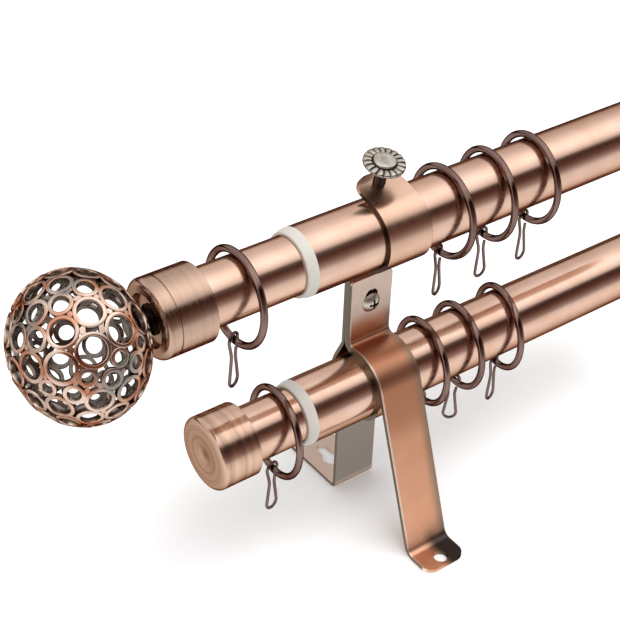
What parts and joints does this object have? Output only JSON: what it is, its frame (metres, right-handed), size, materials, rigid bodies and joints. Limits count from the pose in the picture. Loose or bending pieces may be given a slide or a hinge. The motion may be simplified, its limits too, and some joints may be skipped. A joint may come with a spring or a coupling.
{
  "type": "double curtain pole",
  "caption": "Double telescopic curtain pole on a bent strip bracket with cage ball finial, end cap, thumbscrew, rings and wire hooks.",
  "frame": {"origin": "the centre of the keyhole's round end, on the wall plane", "axes": "+X along the poles from the ball end, +Y the way up on a real wall, +Z away from the wall; the picture shows it standing on the wall side"},
  "size_m": [0.3252, 0.1009, 0.1713],
  "materials": {
    "brushed_copper_tube": "brushed satin copper plate",
    "turned_copper": "turned satin copper plate",
    "copper_plated_strip": "satin copper plate on steel strip",
    "antique_copper_cage": "rubbed antique copper plate",
    "antique_bronze_ring": "dark antique bronze plate",
    "antique_bronze_wire": "dark antique bronze plate",
    "white_nylon": "moulded milky nylon",
    "nickel_screw": "bright nickel plate",
    "antique_nickel": "antique nickel plate"
  },
  "bodies": {
    "bracket_and_poles": {"main_arm": "copper_plated_strip", "brace": "copper_plated_strip", "retaining_strip": "copper_plated_strip", "joint_screw": "nickel_screw", "joint_nut": "nickel_screw", "upper_outer_tube": "brushed_copper_tube", "lower_outer_tube": "brushed_copper_tube", "upper_collar": "white_nylon", "lower_collar": "white_nylon"},
    "upper_slider": {"upper_inner_tube": "brushed_copper_tube", "finial_cup": "turned_copper", "finial_neck": "antique_copper_cage", "finial_ball": "antique_copper_cage", "finial_screw": "nickel_screw"},
    "lower_slider": {"lower_inner_tube": "brushed_copper_tube", "end_cap": "turned_copper"},
    "thumbscrew": {"thumbscrew": "antique_nickel"},
    "ring_upper_end": {"ring_upper_end": "antique_bronze_ring"},
    "hook_upper_end": {"hook_upper_end": "antique_bronze_wire"},
    "ring_upper_1": {"ring_upper_1": "antique_bronze_ring"},
    "hook_upper_1": {"hook_upper_1": "antique_bronze_wire"},
    "ring_upper_2": {"ring_upper_2": "antique_bronze_ring"},
    "hook_upper_2": {"hook_upper_2": "antique_bronze_wire"},
    "ring_upper_3": {"ring_upper_3": "antique_bronze_ring"},
    "hook_upper_3": {"hook_upper_3": "antique_bronze_wire"},
    "ring_lower_end": {"ring_lower_end": "antique_bronze_ring"},
    "hook_lower_end": {"hook_lower_end": "antique_bronze_wire"},
    "ring_lower_1": {"ring_lower_1": "antique_bronze_ring"},
    "hook_lower_1": {"hook_lower_1": "antique_bronze_wire"},
    "ring_lower_2": {"ring_lower_2": "antique_bronze_ring"},
    "hook_lower_2": {"hook_lower_2": "antique_bronze_wire"},
    "ring_lower_3": {"ring_lower_3": "antique_bronze_ring"},
    "hook_lower_3": {"hook_lower_3": "antique_bronze_wire"}
  },
  "joints": [
    {"name": "upper_pole_telescope", "type": "slide", "parent": "bracket_and_poles", "child": "upper_slider", "axis": [-1, 0, 0], "range_m": [-0.01, 0.06]},
    {"name": "lower_pole_telescope", "type": "slide", "parent": "bracket_and_poles", "child": "lower_slider", "axis": [-1, 0, 0], "range_m": [-0.002, 0.06]},
    {"name": "thumbscrew_turn", "type": "hinge", "parent": "bracket_and_poles", "child": "thumbscrew", "pos_m": [0, -0.02022, 0.1578], "axis": [0, -0.2351, 0.972], "continuous": true},
    {"name": "ring_upper_end_slide", "type": "slide", "parent": "upper_slider", "child": "ring_upper_end", "axis": [1, 0, 0], "range_m": [-0.014, 0.01]},
    {"name": "hook_upper_end_swing", "type": "hinge", "parent": "ring_upper_end", "child": "hook_upper_end", "pos_m": [-0.07198, -0.02648, 0.11725], "axis": [0.0175, 0.9998, 0], "range_deg": [-30, 30]},
    {"name": "ring_upper_1_slide", "type": "slide", "parent": "bracket_and_poles", "child": "ring_upper_1", "axis": [1, 0, 0], "range_m": [-0.01, 0.008]},
    {"name": "hook_upper_1_swing", "type": "hinge", "parent": "ring_upper_1", "child": "hook_upper_1", "pos_m": [0.02907, -0.02649, 0.11921], "axis": [0.0349, 0.9994, 0], "range_deg": [-26, 34]},
    {"name": "ring_upper_2_slide", "type": "slide", "parent": "bracket_and_poles", "child": "ring_upper_2", "axis": [1, 0, 0], "range_m": [-0.008, 0.008]},
    {"name": "hook_upper_2_swing", "type": "hinge", "parent": "ring_upper_2", "child": "hook_upper_2", "pos_m": [0.05297, -0.02646, 0.11921], "axis": [0.1132, 0.9936, 0], "range_deg": [-26, 34]},
    {"name": "ring_upper_3_slide", "type": "slide", "parent": "bracket_and_poles", "child": "ring_upper_3", "axis": [1, 0, 0], "range_m": [-0.008, 0.08]},
    {"name": "hook_upper_3_swing", "type": "hinge", "parent": "ring_upper_3", "child": "hook_upper_3", "pos_m": [0.0767, -0.0265, 0.1192], "axis": [0.0872, 0.9962, 0], "range_deg": [-26, 34]},
    {"name": "ring_lower_end_slide", "type": "slide", "parent": "lower_slider", "child": "ring_lower_end", "axis": [1, 0, 0], "range_m": [-0.014, 0.001]},
    {"name": "hook_lower_end_swing", "type": "hinge", "parent": "ring_lower_end", "child": "hook_lower_end", "pos_m": [-0.05291, -0.02639, 0.04249], "axis": [0.0872, 0.9962, 0], "range_deg": [-30, 30]},
    {"name": "ring_lower_1_slide", "type": "slide", "parent": "bracket_and_poles", "child": "ring_lower_1", "axis": [1, 0, 0], "range_m": [-0.009, 0.006]},
    {"name": "hook_lower_1_swing", "type": "hinge", "parent": "ring_lower_1", "child": "hook_lower_1", "pos_m": [0.02557, -0.02646, 0.04441], "axis": [0.1219, 0.9925, 0], "range_deg": [-30, 30]},
    {"name": "ring_lower_2_slide", "type": "slide", "parent": "bracket_and_poles", "child": "ring_lower_2", "axis": [1, 0, 0], "range_m": [-0.006, 0.008]},
    {"name": "hook_lower_2_swing", "type": "hinge", "parent": "ring_lower_2", "child": "hook_lower_2", "pos_m": [0.04568, -0.02645, 0.04441], "axis": [0.1392, 0.9903, 0], "range_deg": [-30, 30]},
    {"name": "ring_lower_3_slide", "type": "slide", "parent": "bracket_and_poles", "child": "ring_lower_3", "axis": [1, 0, 0], "range_m": [-0.008, 0.08]},
    {"name": "hook_lower_3_swing", "type": "hinge", "parent": "ring_lower_3", "child": "hook_lower_3", "pos_m": [0.0703, -0.0265, 0.0444], "axis": [0.2079, 0.9781, 0], "range_deg": [-30, 30]}
  ]
}
